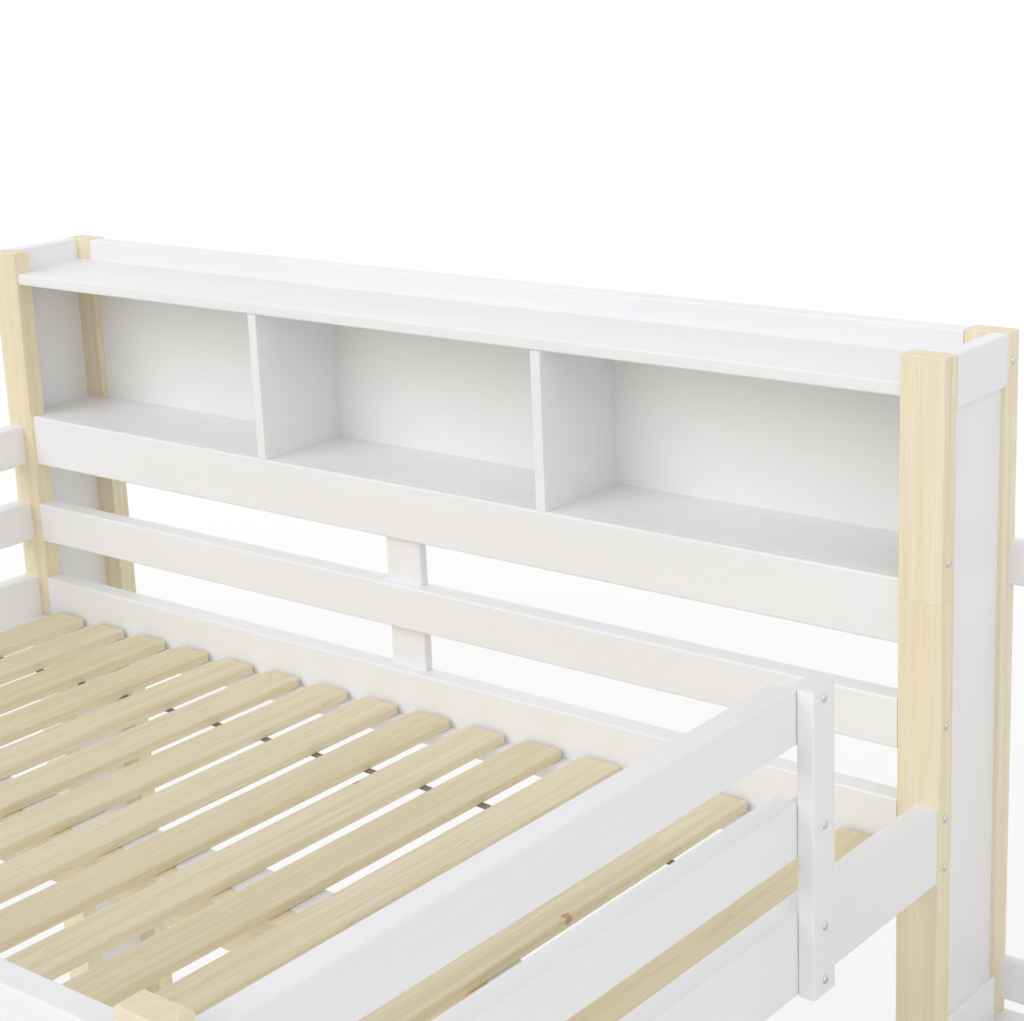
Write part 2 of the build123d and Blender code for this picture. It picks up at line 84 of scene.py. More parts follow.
def add_node(
    tree: bpy.types.NodeTree,
    kind: str,
    settings: dict[str, object] | None = None,
    inputs: dict[int | str, object] | None = None,
) -> bpy.types.Node:
    """Adds one node with its settings and links.

    Args:
        tree: the material's or the world's nodes.
        kind: Blender's name for the node's type.
        settings: values of the node's own properties.
        inputs: for each input, by place or name, a socket to link or a value to set.

    Returns:
        The new node.
    """
    node = tree.nodes.new(kind)
    for name, value in (settings or {}).items():
        setattr(node, name, value)
    for key, value in (inputs or {}).items():
        if isinstance(value, bpy.types.NodeSocket):
            tree.links.new(value, node.inputs[key])
        else:
            node.inputs[key].default_value = value
    return node


class Grain(Enum):
    """Way the fibres of a board run: the names of the axes across its width, its depth and along it."""

    X = ("Y", "Z", "X")
    Y = ("X", "Z", "Y")
    Z = ("X", "Y", "Z")


@dataclass(frozen=True)
class Finish:
    """A surface, named for the real material it is made of."""

    name: str

    def make(self) -> bpy.types.Material:
        """Returns a new material with this surface."""
        material = bpy.data.materials.new(self.name)
        material.use_nodes = True
        tree = material.node_tree
        tree.nodes.clear()
        shader = self.surface(tree)
        add_node(tree, "ShaderNodeOutputMaterial", inputs={"Surface": shader})
        return material

    def place_mm(self, tree: bpy.types.NodeTree) -> bpy.types.NodeSocket:
        """Returns the place on the object in millimetres, so that pattern sizes are real ones."""
        place = add_node(tree, "ShaderNodeTexCoord").outputs["Object"]
        scale = {"operation": "SCALE"}
        return add_node(tree, "ShaderNodeVectorMath", scale, {0: place, "Scale": 1000.0}).outputs[0]

    def surface(self, tree: bpy.types.NodeTree) -> bpy.types.NodeSocket:
        """Returns the shader; each finish has its own."""
        raise NotImplementedError


@dataclass(frozen=True)
class PlanedPine(Finish):
    """Scots pine, planed and sanded, with no varnish on it.

    Cream early wood with thin honey late wood lines along the board, some brown knots that push the
    lines aside, and a dry satin sheen. Neighbouring boards in one node differ, as real ones do.
    """

    grain: Grain
    centre_mm: tuple[float, float] = (0.0, 0.0)
    heart_width_mm: tuple[float, float] = (110.0, 170.0)
    heart_depth_mm: tuple[float, float] = (20.0, 60.0)
    seed: float = 1.0
    start_mm: float = 0.0
    pitch_mm: float = 0.0
    joint_mm: float = 0.0
    knot_share: float = 0.25
    early: str = "#F4ECD6"
    late: str = "#E0CC9E"
    knot: str = "#B08A5C"

    # Growth rings of slow northern pine are 1 to 3 mm apart. They are drawn 5 mm apart, because
    # finer ones are narrower than a pixel.
    ring_mm: float = 5.0

    def surface(self, tree: bpy.types.NodeTree) -> bpy.types.NodeSocket:
        """Returns the pine shader."""
        axes = add_node(tree, "ShaderNodeSeparateXYZ", inputs={0: self.place_mm(tree)}).outputs
        width, depth, run = (axes[name] for name in self.grain.value)
        board, across = self.board(tree, width)
        chance = add_node(
            tree, "ShaderNodeTexWhiteNoise", {"noise_dimensions": "1D"}, {"W": board}
        ).outputs["Color"]
        chances = add_node(tree, "ShaderNodeSeparateColor", inputs={0: chance}).outputs
        run = self.shifted_run(tree, run, board)
        fibres = add_node(tree, "ShaderNodeCombineXYZ", inputs={0: width, 1: depth, 2: run}).outputs[0]
        knot, push = self.knots(tree, width, depth, run)
        rings = self.rings(tree, across, depth, chances, fibres, push)

        streak_space = add_node(
            tree, "ShaderNodeVectorMath", {"operation": "DIVIDE"}, {0: fibres, 1: (15.0, 15.0, 620.0)}
        ).outputs[0]
        streak = add_node(
            tree, "ShaderNodeTexNoise", inputs={"Vector": streak_space, "Scale": 1.0, "Detail": 3.0}
        ).outputs[0]
        fibre_space = add_node(
            tree, "ShaderNodeVectorMath", {"operation": "DIVIDE"}, {0: fibres, 1: (1.6, 1.6, 70.0)}
        ).outputs[0]
        fibre = add_node(
            tree, "ShaderNodeTexNoise", inputs={"Vector": fibre_space, "Scale": 1.0, "Detail": 2.0}
        ).outputs[0]

        late_share = add_node(
            tree, "ShaderNodeMath", {"operation": "MULTIPLY"}, {0: rings, 1: 0.34}
        ).outputs[0]
        streak_share = add_node(
            tree, "ShaderNodeMapRange", inputs={0: streak, 1: 0.42, 2: 0.72, 3: 0.0, 4: 0.5}
        ).outputs[0]
        fibre_share = add_node(
            tree, "ShaderNodeMapRange", inputs={0: fibre, 1: 0.5, 2: 0.8, 3: 0.0, 4: 0.28}
        ).outputs[0]
        board_share = add_node(
            tree, "ShaderNodeMath", {"operation": "MULTIPLY"}, {0: chances[2], 1: 0.3}
        ).outputs[0]
        knot_share = add_node(
            tree, "ShaderNodeMath", {"operation": "MULTIPLY"}, {0: knot, 1: 0.75}
        ).outputs[0]
        colour = srgb(self.early)
        for share, tint in (
            (late_share, self.late),
            (streak_share, self.late),
            (fibre_share, self.late),
            (board_share, self.late),
            (knot_share, self.knot),
        ):
            mix = {"data_type": "RGBA"}
            colour = add_node(tree, "ShaderNodeMix", mix, {0: share, 6: colour, 7: srgb(tint)}).outputs[2]
        colour = self.joint_line(tree, axes[self.grain.value[2]], colour)

        roughness = add_node(
            tree, "ShaderNodeMapRange", inputs={0: streak, 1: 0.3, 2: 0.7, 3: 0.62, 4: 0.5}
        ).outputs[0]
        height = add_node(
            tree, "ShaderNodeMath", {"operation": "MULTIPLY_ADD"}, {0: rings, 1: 0.4, 2: fibre}
        ).outputs[0]
        bump = add_node(
            tree, "ShaderNodeBump", inputs={"Strength": 0.25, "Distance": 0.3 * MM, "Height": height}
        ).outputs[0]
        return add_node(
            tree,
            "ShaderNodeBsdfPrincipled",
            inputs={"Base Color": colour, "Roughness": roughness, "Normal": bump, "IOR": 1.47},
        ).outputs[0]

    def board(
        self, tree: bpy.types.NodeTree, width: bpy.types.NodeSocket
    ) -> tuple[float | bpy.types.NodeSocket, bpy.types.NodeSocket]:
        """Tells the boards of one node apart.

        Args:
            tree: the material's nodes.
            width: place across the boards.

        Returns:
            The board's number, and the place across it from its middle.
        """
        if not self.pitch_mm:
            across = add_node(
                tree, "ShaderNodeMath", {"operation": "SUBTRACT"}, {0: width, 1: self.centre_mm[0]}
            ).outputs[0]
            return self.seed, across
        steps = add_node(
            tree, "ShaderNodeMath", {"operation": "SUBTRACT"}, {0: width, 1: self.start_mm}
        ).outputs[0]
        pitches = add_node(
            tree, "ShaderNodeMath", {"operation": "DIVIDE"}, {0: steps, 1: self.pitch_mm}
        ).outputs[0]
        number = add_node(tree, "ShaderNodeMath", {"operation": "FLOOR"}, {0: pitches}).outputs[0]
        inside = add_node(
            tree, "ShaderNodeMath", {"operation": "WRAP"}, {0: steps, 1: self.pitch_mm, 2: 0.0}
        ).outputs[0]
        across = add_node(
            tree, "ShaderNodeMath", {"operation": "SUBTRACT"}, {0: inside, 1: self.pitch_mm / 2}
        ).outputs[0]
        return number, across

    def shifted_run(
        self, tree: bpy.types.NodeTree, run: bpy.types.NodeSocket, board: float | bpy.types.NodeSocket
    ) -> bpy.types.NodeSocket:
        """Returns the place along the log, which is another one for each board and beyond a joint."""
        run = add_node(
            tree, "ShaderNodeMath", {"operation": "MULTIPLY_ADD"}, {0: board, 1: 733.0, 2: run}
        ).outputs[0]
        if not self.joint_mm:
            return run
        limit = self.joint_mm + 733.0 * self.seed
        above = add_node(
            tree, "ShaderNodeMath", {"operation": "GREATER_THAN"}, {0: run, 1: limit}
        ).outputs[0]
        return add_node(
            tree, "ShaderNodeMath", {"operation": "MULTIPLY_ADD"}, {0: above, 1: 1311.0, 2: run}
        ).outputs[0]

    def knots(
        self,
        tree: bpy.types.NodeTree,
        width: bpy.types.NodeSocket,
        depth: bpy.types.NodeSocket,
        run: bpy.types.NodeSocket,
    ) -> tuple[bpy.types.NodeSocket, bpy.types.NodeSocket]:
        """Scatters oval knots about 12 mm across, at most one to each 110 by 430 mm of face.

        Returns:
            The share of knot colour, and how far the rings give way around it in millimetres.
        """
        cell = (110.0, 430.0, 1.0)
        face = add_node(tree, "ShaderNodeMath", {"operation": "ADD"}, {0: width, 1: depth}).outputs[0]
        flat = add_node(tree, "ShaderNodeCombineXYZ", inputs={0: face, 1: run}).outputs[0]
        cells = add_node(
            tree, "ShaderNodeVectorMath", {"operation": "DIVIDE"}, {0: flat, 1: cell}
        ).outputs[0]
        seeds = add_node(
            tree, "ShaderNodeTexVoronoi", {"voronoi_dimensions": "2D"}, {"Vector": cells, "Scale": 1.0}
        ).outputs
        away = add_node(
            tree, "ShaderNodeVectorMath", {"operation": "SUBTRACT"}, {0: cells, 1: seeds["Position"]}
        ).outputs[0]
        away_mm = add_node(
            tree, "ShaderNodeVectorMath", {"operation": "MULTIPLY"}, {0: away, 1: (110.0, 270.0, 0.0)}
        ).outputs[0]
        distance = add_node(
            tree, "ShaderNodeVectorMath", {"operation": "LENGTH"}, {0: away_mm}
        ).outputs["Value"]
        luck = add_node(tree, "ShaderNodeSeparateColor", inputs={0: seeds["Color"]}).outputs[0]
        present = add_node(
            tree, "ShaderNodeMath", {"operation": "LESS_THAN"}, {0: luck, 1: self.knot_share}
        ).outputs[0]
        smooth = {"interpolation_type": "SMOOTHSTEP"}
        core = add_node(
            tree, "ShaderNodeMapRange", smooth, {0: distance, 1: 3.5, 2: 7.0, 3: 1.0, 4: 0.0}
        ).outputs[0]
        swell = add_node(
            tree, "ShaderNodeMapRange", smooth, {0: distance, 1: 2.0, 2: 34.0, 3: 11.0, 4: 0.0}
        ).outputs[0]
        knot = add_node(tree, "ShaderNodeMath", {"operation": "MULTIPLY"}, {0: core, 1: present}).outputs[0]
        push = add_node(tree, "ShaderNodeMath", {"operation": "MULTIPLY"}, {0: swell, 1: present}).outputs[0]
        return knot, push

    def rings(
        self,
        tree: bpy.types.NodeTree,
        across: bpy.types.NodeSocket,
        depth: bpy.types.NodeSocket,
        chances: bpy.types.NodeInputs,
        fibres: bpy.types.NodeSocket,
        push: bpy.types.NodeSocket,
    ) -> bpy.types.NodeSocket:
        """Returns the share of late wood, from rings around the heart of the log beside the board."""
        low, high = self.heart_width_mm
        heart_width = add_node(
            tree, "ShaderNodeMapRange", inputs={0: chances[0], 1: 0.0, 2: 1.0, 3: low, 4: high}
        ).outputs[0]
        low, high = (value - self.centre_mm[1] for value in self.heart_depth_mm)
        heart_depth = add_node(
            tree, "ShaderNodeMapRange", inputs={0: chances[1], 1: 0.0, 2: 1.0, 3: low, 4: high}
        ).outputs[0]
        offset = add_node(tree, "ShaderNodeMath", {"operation": "ADD"}, {0: across, 1: heart_width}).outputs[0]
        drop = add_node(tree, "ShaderNodeMath", {"operation": "ADD"}, {0: depth, 1: heart_depth}).outputs[0]
        spoke = add_node(tree, "ShaderNodeCombineXYZ", inputs={0: offset, 1: drop}).outputs[0]
        radius = add_node(
            tree, "ShaderNodeVectorMath", {"operation": "LENGTH"}, {0: spoke}
        ).outputs["Value"]
        space = add_node(
            tree, "ShaderNodeVectorMath", {"operation": "DIVIDE"}, {0: fibres, 1: (60.0, 60.0, 520.0)}
        ).outputs[0]
        wander = add_node(
            tree, "ShaderNodeTexNoise", inputs={"Vector": space, "Scale": 1.0, "Detail": 3.0}
        ).outputs[0]
        bent = add_node(
            tree, "ShaderNodeMath", {"operation": "MULTIPLY_ADD"}, {0: wander, 1: 46.0, 2: radius}
        ).outputs[0]
        pushed = add_node(tree, "ShaderNodeMath", {"operation": "ADD"}, {0: bent, 1: push}).outputs[0]
        counted = add_node(
            tree, "ShaderNodeMath", {"operation": "DIVIDE"}, {0: pushed, 1: self.ring_mm}
        ).outputs[0]
        year = add_node(tree, "ShaderNodeMath", {"operation": "FRACT"}, {0: counted}).outputs[0]
        return add_node(tree, "ShaderNodeMath", {"operation": "POWER"}, {0: year, 1: 2.5}).outputs[0]

    def joint_line(
        self, tree: bpy.types.NodeTree, run: bpy.types.NodeSocket, colour: bpy.types.NodeSocket
    ) -> bpy.types.NodeSocket:
        """Returns the colour with the thin glue line where two lengths of the post are joined."""
        if not self.joint_mm:
            return colour
        off = add_node(
            tree, "ShaderNodeMath", {"operation": "SUBTRACT"}, {0: run, 1: self.joint_mm}
        ).outputs[0]
        near = add_node(tree, "ShaderNodeMath", {"operation": "ABSOLUTE"}, {0: off}).outputs[0]
        line = add_node(
            tree, "ShaderNodeMapRange", inputs={0: near, 1: 0.3, 2: 1.0, 3: 0.16, 4: 0.0}
        ).outputs[0]
        mix = {"data_type": "RGBA"}
        return add_node(tree, "ShaderNodeMix", mix, {0: line, 6: colour, 7: srgb(self.knot)}).outputs[2]


@dataclass(frozen=True)
class LacqueredTimber(Finish):
    """White acrylic lacquer, sprayed on primed pine and sanded between coats.

    An even off-white with a soft satin sheen. The grain under it shows as very faint lines along
    the board, and the coat itself has a slight orange peel.
    """

    grain: Grain
    tone: str = "#F2F2F4"
    shade: str = "#E8E8EB"
    grain_depth_mm: float = 0.12

    def surface(self, tree: bpy.types.NodeTree) -> bpy.types.NodeSocket:
        """Returns the lacquer shader."""
        place = self.place_mm(tree)
        axes = add_node(tree, "ShaderNodeSeparateXYZ", inputs={0: place}).outputs
        width, depth, run = (axes[name] for name in self.grain.value)
        fibres = add_node(tree, "ShaderNodeCombineXYZ", inputs={0: width, 1: depth, 2: run}).outputs[0]
        # Grain lines about 4 mm apart and a quarter of a metre long
        line_space = add_node(
            tree, "ShaderNodeVectorMath", {"operation": "DIVIDE"}, {0: fibres, 1: (4.0, 4.0, 260.0)}
        ).outputs[0]
        lines = add_node(
            tree, "ShaderNodeTexNoise", inputs={"Vector": line_space, "Scale": 1.0, "Detail": 2.0}
        ).outputs[0]
        # Orange peel is about 2 mm from crest to crest
        peel_space = add_node(
            tree, "ShaderNodeVectorMath", {"operation": "DIVIDE"}, {0: place, 1: (2.0, 2.0, 2.0)}
        ).outputs[0]
        peel = add_node(
            tree, "ShaderNodeTexNoise", inputs={"Vector": peel_space, "Scale": 1.0, "Detail": 1.0}
        ).outputs[0]
        # Thicker and thinner passes of the spray gun, about 150 mm wide
        pass_space = add_node(
            tree, "ShaderNodeVectorMath", {"operation": "DIVIDE"}, {0: fibres, 1: (150.0, 150.0, 400.0)}
        ).outputs[0]
        passes = add_node(
            tree, "ShaderNodeTexNoise", inputs={"Vector": pass_space, "Scale": 1.0, "Detail": 2.0}
        ).outputs[0]
        pass_share = add_node(
            tree, "ShaderNodeMapRange", inputs={0: passes, 1: 0.35, 2: 0.75, 3: 0.0, 4: 0.3}
        ).outputs[0]
        line_share = add_node(
            tree, "ShaderNodeMapRange", inputs={0: lines, 1: 0.5, 2: 0.8, 3: 0.0, 4: 0.3}
        ).outputs[0]
        colour = srgb(self.tone)
        for share in (pass_share, line_share):
            mix = {"data_type": "RGBA"}
            colour = add_node(
                tree, "ShaderNodeMix", mix, {0: share, 6: colour, 7: srgb(self.shade)}
            ).outputs[2]
        roughness = add_node(
            tree, "ShaderNodeMapRange", inputs={0: passes, 1: 0.3, 2: 0.7, 3: 0.36, 4: 0.46}
        ).outputs[0]
        height = add_node(
            tree, "ShaderNodeMath", {"operation": "MULTIPLY_ADD"}, {0: peel, 1: 0.2, 2: lines}
        ).outputs[0]
        bump = add_node(
            tree,
            "ShaderNodeBump",
            inputs={"Strength": 0.3, "Distance": self.grain_depth_mm * MM, "Height": height},
        ).outputs[0]
        return add_node(
            tree,
            "ShaderNodeBsdfPrincipled",
            inputs={"Base Color": colour, "Roughness": roughness, "Normal": bump, "IOR": 1.49},
        ).outputs[0]


@dataclass(frozen=True)
class ZincPlatedSteel(Finish):
    """Pressed steel bolt heads, bright zinc plated.

    Light grey metal that mirrors the pale room softly, with faint cloudy spangles.
    """

    tone: str = "#D6D7D8"
    shade: str = "#B9BCBF"

    def surface(self, tree: bpy.types.NodeTree) -> bpy.types.NodeSocket:
        """Returns the zinc shader."""
        # Spangles are about 1.5 mm wide
        space = add_node(
            tree, "ShaderNodeVectorMath", {"operation": "DIVIDE"}, {0: self.place_mm(tree), 1: (1.5, 1.5, 1.5)}
        ).outputs[0]
        cloud = add_node(
            tree, "ShaderNodeTexNoise", inputs={"Vector": space, "Scale": 1.0, "Detail": 2.0}
        ).outputs[0]
        share = add_node(
            tree, "ShaderNodeMapRange", inputs={0: cloud, 1: 0.35, 2: 0.7, 3: 0.0, 4: 1.0}
        ).outputs[0]
        colour = add_node(
            tree, "ShaderNodeMix", {"data_type": "RGBA"}, {0: share, 6: srgb(self.tone), 7: srgb(self.shade)}
        ).outputs[2]
        roughness = add_node(
            tree, "ShaderNodeMapRange", inputs={0: cloud, 1: 0.3, 2: 0.7, 3: 0.28, 4: 0.4}
        ).outputs[0]
        return add_node(
            tree,
            "ShaderNodeBsdfPrincipled",
            inputs={"Base Color": colour, "Roughness": roughness, "Metallic": 1.0},
        ).outputs[0]


@dataclass(frozen=True)
class WovenTape(Finish):
    """Plain woven cotton tape, undyed, coloured a dull grey brown.

    Dull grey brown with small raised squares where the threads cross. Threads of such tape are
    0.8 mm apart, and they are drawn 2 mm apart so that they show.
    """

    tone: str = "#A59A88"
    shade: str = "#7F7566"
    thread_mm: float = 2.0

    def surface(self, tree: bpy.types.NodeTree) -> bpy.types.NodeSocket:
        """Returns the tape shader."""
        turns = 2 * math.pi / (2 * self.thread_mm)
        angle = add_node(
            tree, "ShaderNodeVectorMath", {"operation": "SCALE"}, {0: self.place_mm(tree), "Scale": turns}
        ).outputs[0]
        wave = add_node(tree, "ShaderNodeVectorMath", {"operation": "SINE"}, {0: angle}).outputs[0]
        axes = add_node(tree, "ShaderNodeSeparateXYZ", inputs={0: wave}).outputs
        crossing = add_node(
            tree, "ShaderNodeMath", {"operation": "MULTIPLY"}, {0: axes[0], 1: axes[1]}
        ).outputs[0]
        share = add_node(
            tree, "ShaderNodeMapRange", inputs={0: crossing, 1: -0.6, 2: 0.6, 3: 0.0, 4: 1.0}
        ).outputs[0]
        # Crossings take the light tone and the hollows between them the dark one: painted shade in the weave
        colour = add_node(
            tree, "ShaderNodeMix", {"data_type": "RGBA"}, {0: share, 6: srgb(self.shade), 7: srgb(self.tone)}
        ).outputs[2]
        bump = add_node(
            tree, "ShaderNodeBump", inputs={"Strength": 0.6, "Distance": 0.3 * MM, "Height": share}
        ).outputs[0]
        return add_node(
            tree,
            "ShaderNodeBsdfPrincipled",
            inputs={"Base Color": colour, "Roughness": 0.92, "Normal": bump},
        ).outputs[0]


@dataclass(frozen=True)
class StudioFloor(Finish):
    """Pale matt paper under the bed, which fades to the white room around it and keeps the shadow."""

    tone: str = "#F6F6F5"
    whiten: float = 0.72
    fade_mm: tuple[float, float] = (3600.0, 7000.0)

    def surface(self, tree: bpy.types.NodeTree) -> bpy.types.NodeSocket:
        """Returns the floor shader."""
        away = add_node(
            tree, "ShaderNodeVectorMath", {"operation": "LENGTH"}, {0: self.place_mm(tree)}
        ).outputs["Value"]
        near, far = self.fade_mm
        share = add_node(
            tree,
            "ShaderNodeMapRange",
            {"interpolation_type": "SMOOTHSTEP"},
            {0: away, 1: near, 2: far, 3: self.whiten, 4: 1.0},
        ).outputs[0]
        speckle_space = add_node(
            tree, "ShaderNodeVectorMath", {"operation": "DIVIDE"}, {0: self.place_mm(tree), 1: (4.0, 4.0, 4.0)}
        ).outputs[0]
        speckle = add_node(
            tree, "ShaderNodeTexNoise", inputs={"Vector": speckle_space, "Scale": 1.0}
        ).outputs[0]
        roughness = add_node(
            tree, "ShaderNodeMapRange", inputs={0: speckle, 1: 0.3, 2: 0.7, 3: 0.85, 4: 0.95}
        ).outputs[0]
        paper = add_node(
            tree,
            "ShaderNodeBsdfPrincipled",
            inputs={"Base Color": srgb(self.tone), "Roughness": roughness},
        ).outputs[0]
        white = add_node(
            tree, "ShaderNodeEmission", inputs={"Color": srgb("#FFFFFF"), "Strength": 1.0}
        ).outputs[0]
        seen = add_node(
            tree, "ShaderNodeMath", {"operation": "MULTIPLY"}, {0: share, 1: seen_ray(tree)}
        ).outputs[0]
        return add_node(tree, "ShaderNodeMixShader", inputs={0: seen, 1: paper, 2: white}).outputs[0]


def seen_ray(tree: bpy.types.NodeTree) -> bpy.types.NodeSocket:
    """Returns 1 for rays that show the room itself, straight, mirrored or through glass."""
    rays = add_node(tree, "ShaderNodeLightPath").outputs
    pair = add_node(
        tree,
        "ShaderNodeMath",
        {"operation": "MAXIMUM"},
        {0: rays["Is Camera Ray"], 1: rays["Is Glossy Ray"]},
    ).outputs[0]
    return add_node(
        tree, "ShaderNodeMath", {"operation": "MAXIMUM"}, {0: pair, 1: rays["Is Transmission Ray"]}
    ).outputs[0]


@dataclass
class Workshop:
    """Makes each material once, and puts it on the pieces."""

    made: dict[Finish, bpy.types.Material] = field(default_factory=dict)

    def material(self, finish: Finish) -> bpy.types.Material:
        """Returns the finish's material, made when first asked for."""
        if finish not in self.made:
            self.made[finish] = finish.make()
        return self.made[finish]

    def dress(self, node: str, finish: Finish) -> None:
        """Gives a node of the frame a finish.

        Args:
            node: the node's name.
            finish: what its surface is.
        """
        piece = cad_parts[node]
        material = self.material(finish)
        if not piece.material_slots:
            piece.data.materials.append(material)
        for place in piece.material_slots:
            place.material = material
        log.info("%s: %s", node, finish.name)

    def add_piece(
        self, name: str, shape: bmesh.types.BMesh, finish: Finish, node: str
    ) -> bpy.types.Object:
        """Adds a new piece that stands for a node of the frame.

        Args:
            name: the new piece's name.
            shape: its mesh, in the frame's metres.
            finish: what its surface is.
            node: the node it stands for.

        Returns:
            The new piece.
        """
        mesh = bpy.data.meshes.new(name)
        shape.to_mesh(mesh)
        shape.free()
        mesh.polygons.foreach_set("use_smooth", [True] * len(mesh.polygons))
        mesh.materials.append(self.material(finish))
        piece = bpy.data.objects.new(name, mesh)
        bpy.context.scene.collection.objects.link(piece)
        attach(piece, "root")
        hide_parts(node)
        log.info("%s: %s, %d faces", name, finish.name, len(mesh.polygons))
        return piece


def centre_mm(node: str, grain: Grain) -> tuple[float, float]:
    """Returns the middle of a node across its grain, in millimetres."""
    low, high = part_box(node)
    middle = (low + high) / (2 * MM)
    width, depth, _ = ("XYZ".index(name) for name in grain.value)
    return round(middle[width], 2), round(middle[depth], 2)


def longest_way(node: str) -> Grain:
    """Returns the way a single board's grain runs, which is along its longest side."""
    low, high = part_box(node)
    sides = high - low
    return (Grain.X, Grain.Y, Grain.Z)[max(range(3), key=lambda side: sides[side])]


@dataclass(frozen=True)
class Posts:
    """The six pine posts. Each front post is glued up from two lengths, with the joint below the shelf."""

    glued: tuple[str, ...] = ("front_post_left", "front_post_right")
    plain: tuple[str, ...] = ("rear_post_left", "rear_post_right", "near_post_left", "near_post_right")
    joint_drop_mm: float = 358.0

    def build(self, shop: Workshop) -> None:
        """Dresses the posts."""
        for number, node in enumerate(self.glued + self.plain):
            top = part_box(node)[1].z / MM
            joint = round(top - self.joint_drop_mm, 1) if node in self.glued else 0.0
            pine = PlanedPine(
                f"pine_{node}",
                Grain.Z,
                centre_mm=centre_mm(node, Grain.Z),
                seed=float(number + 3),
                joint_mm=joint,
                knot_share=0.18,
            )
            shop.dress(node, pine)


@dataclass(frozen=True)
class Railing:
    """White rails, stiles and guard board around the bed."""

    boards: tuple[str, ...] = (
        "wall_guard_rail",
        "wall_side_rail",
        "near_top_guard_rail",
        "near_lower_guard_rail",
        "near_side_rail",
        "left_top_guard_rail",
        "left_lower_guard_rail",
        "left_end_side_rail",
        "right_top_guard_rail",
        "right_lower_guard_rail",
        "right_end_side_rail",
        "guard_board",
    )
    stiles: tuple[str, ...] = ("wall_stiles", "near_stiles")

    def build(self, shop: Workshop) -> None:
        """Dresses the rails and stiles."""
        for node in self.boards:
            grain = longest_way(node)
            shop.dress(node, LacqueredTimber(f"white_lacquer_{grain.name.lower()}", grain))
        for node in self.stiles:
            shop.dress(node, LacqueredTimber("white_lacquer_z", Grain.Z))


@dataclass(frozen=True)
class Shelf:
    """White shelf over the bed head, with its dividers and a thin back panel."""

    boards: tuple[str, ...] = (
        "shelf_top_board",
        "shelf_floor_board",
        "shelf_fascia",
        "shelf_divider_left",
        "shelf_divider_right",
        "rear_top_rail",
    )
    back: str = "shelf_back_panel"

    def build(self, shop: Workshop) -> None:
        """Dresses the shelf."""
        for node in self.boards:
            grain = longest_way(node)
            shop.dress(node, LacqueredTimber(f"white_lacquer_{grain.name.lower()}", grain))
        # The back is hardboard, which has no grain and takes the coat a little greyer
        hardboard = LacqueredTimber(
            "white_lacquered_hardboard", Grain.X, tone="#F5F5F4", shade="#ECECEA", grain_depth_mm=0.03
        )
        shop.dress(self.back, hardboard)


@dataclass(frozen=True)
class EndFrames:
    """White framed panels that close both ends of the wall side."""

    sides: tuple[str, ...] = ("left", "right")
    rails: tuple[str, ...] = ("side_top_rail", "side_middle_rail", "side_bottom_rail")
    panels: tuple[str, ...] = ("side_panel_upper", "side_panel_lower")

    def build(self, shop: Workshop) -> None:
        """Dresses the rails and panels."""
        hardboard = LacqueredTimber(
            "white_lacquered_end_panel", Grain.Z, tone="#F1F1F2", shade="#E7E7E9", grain_depth_mm=0.05
        )
        for side in self.sides:
            for rail in self.rails:
                shop.dress(f"{rail}_{side}", LacqueredTimber("white_lacquer_y", Grain.Y))
            for panel in self.panels:
                shop.dress(f"{panel}_{side}", hardboard)


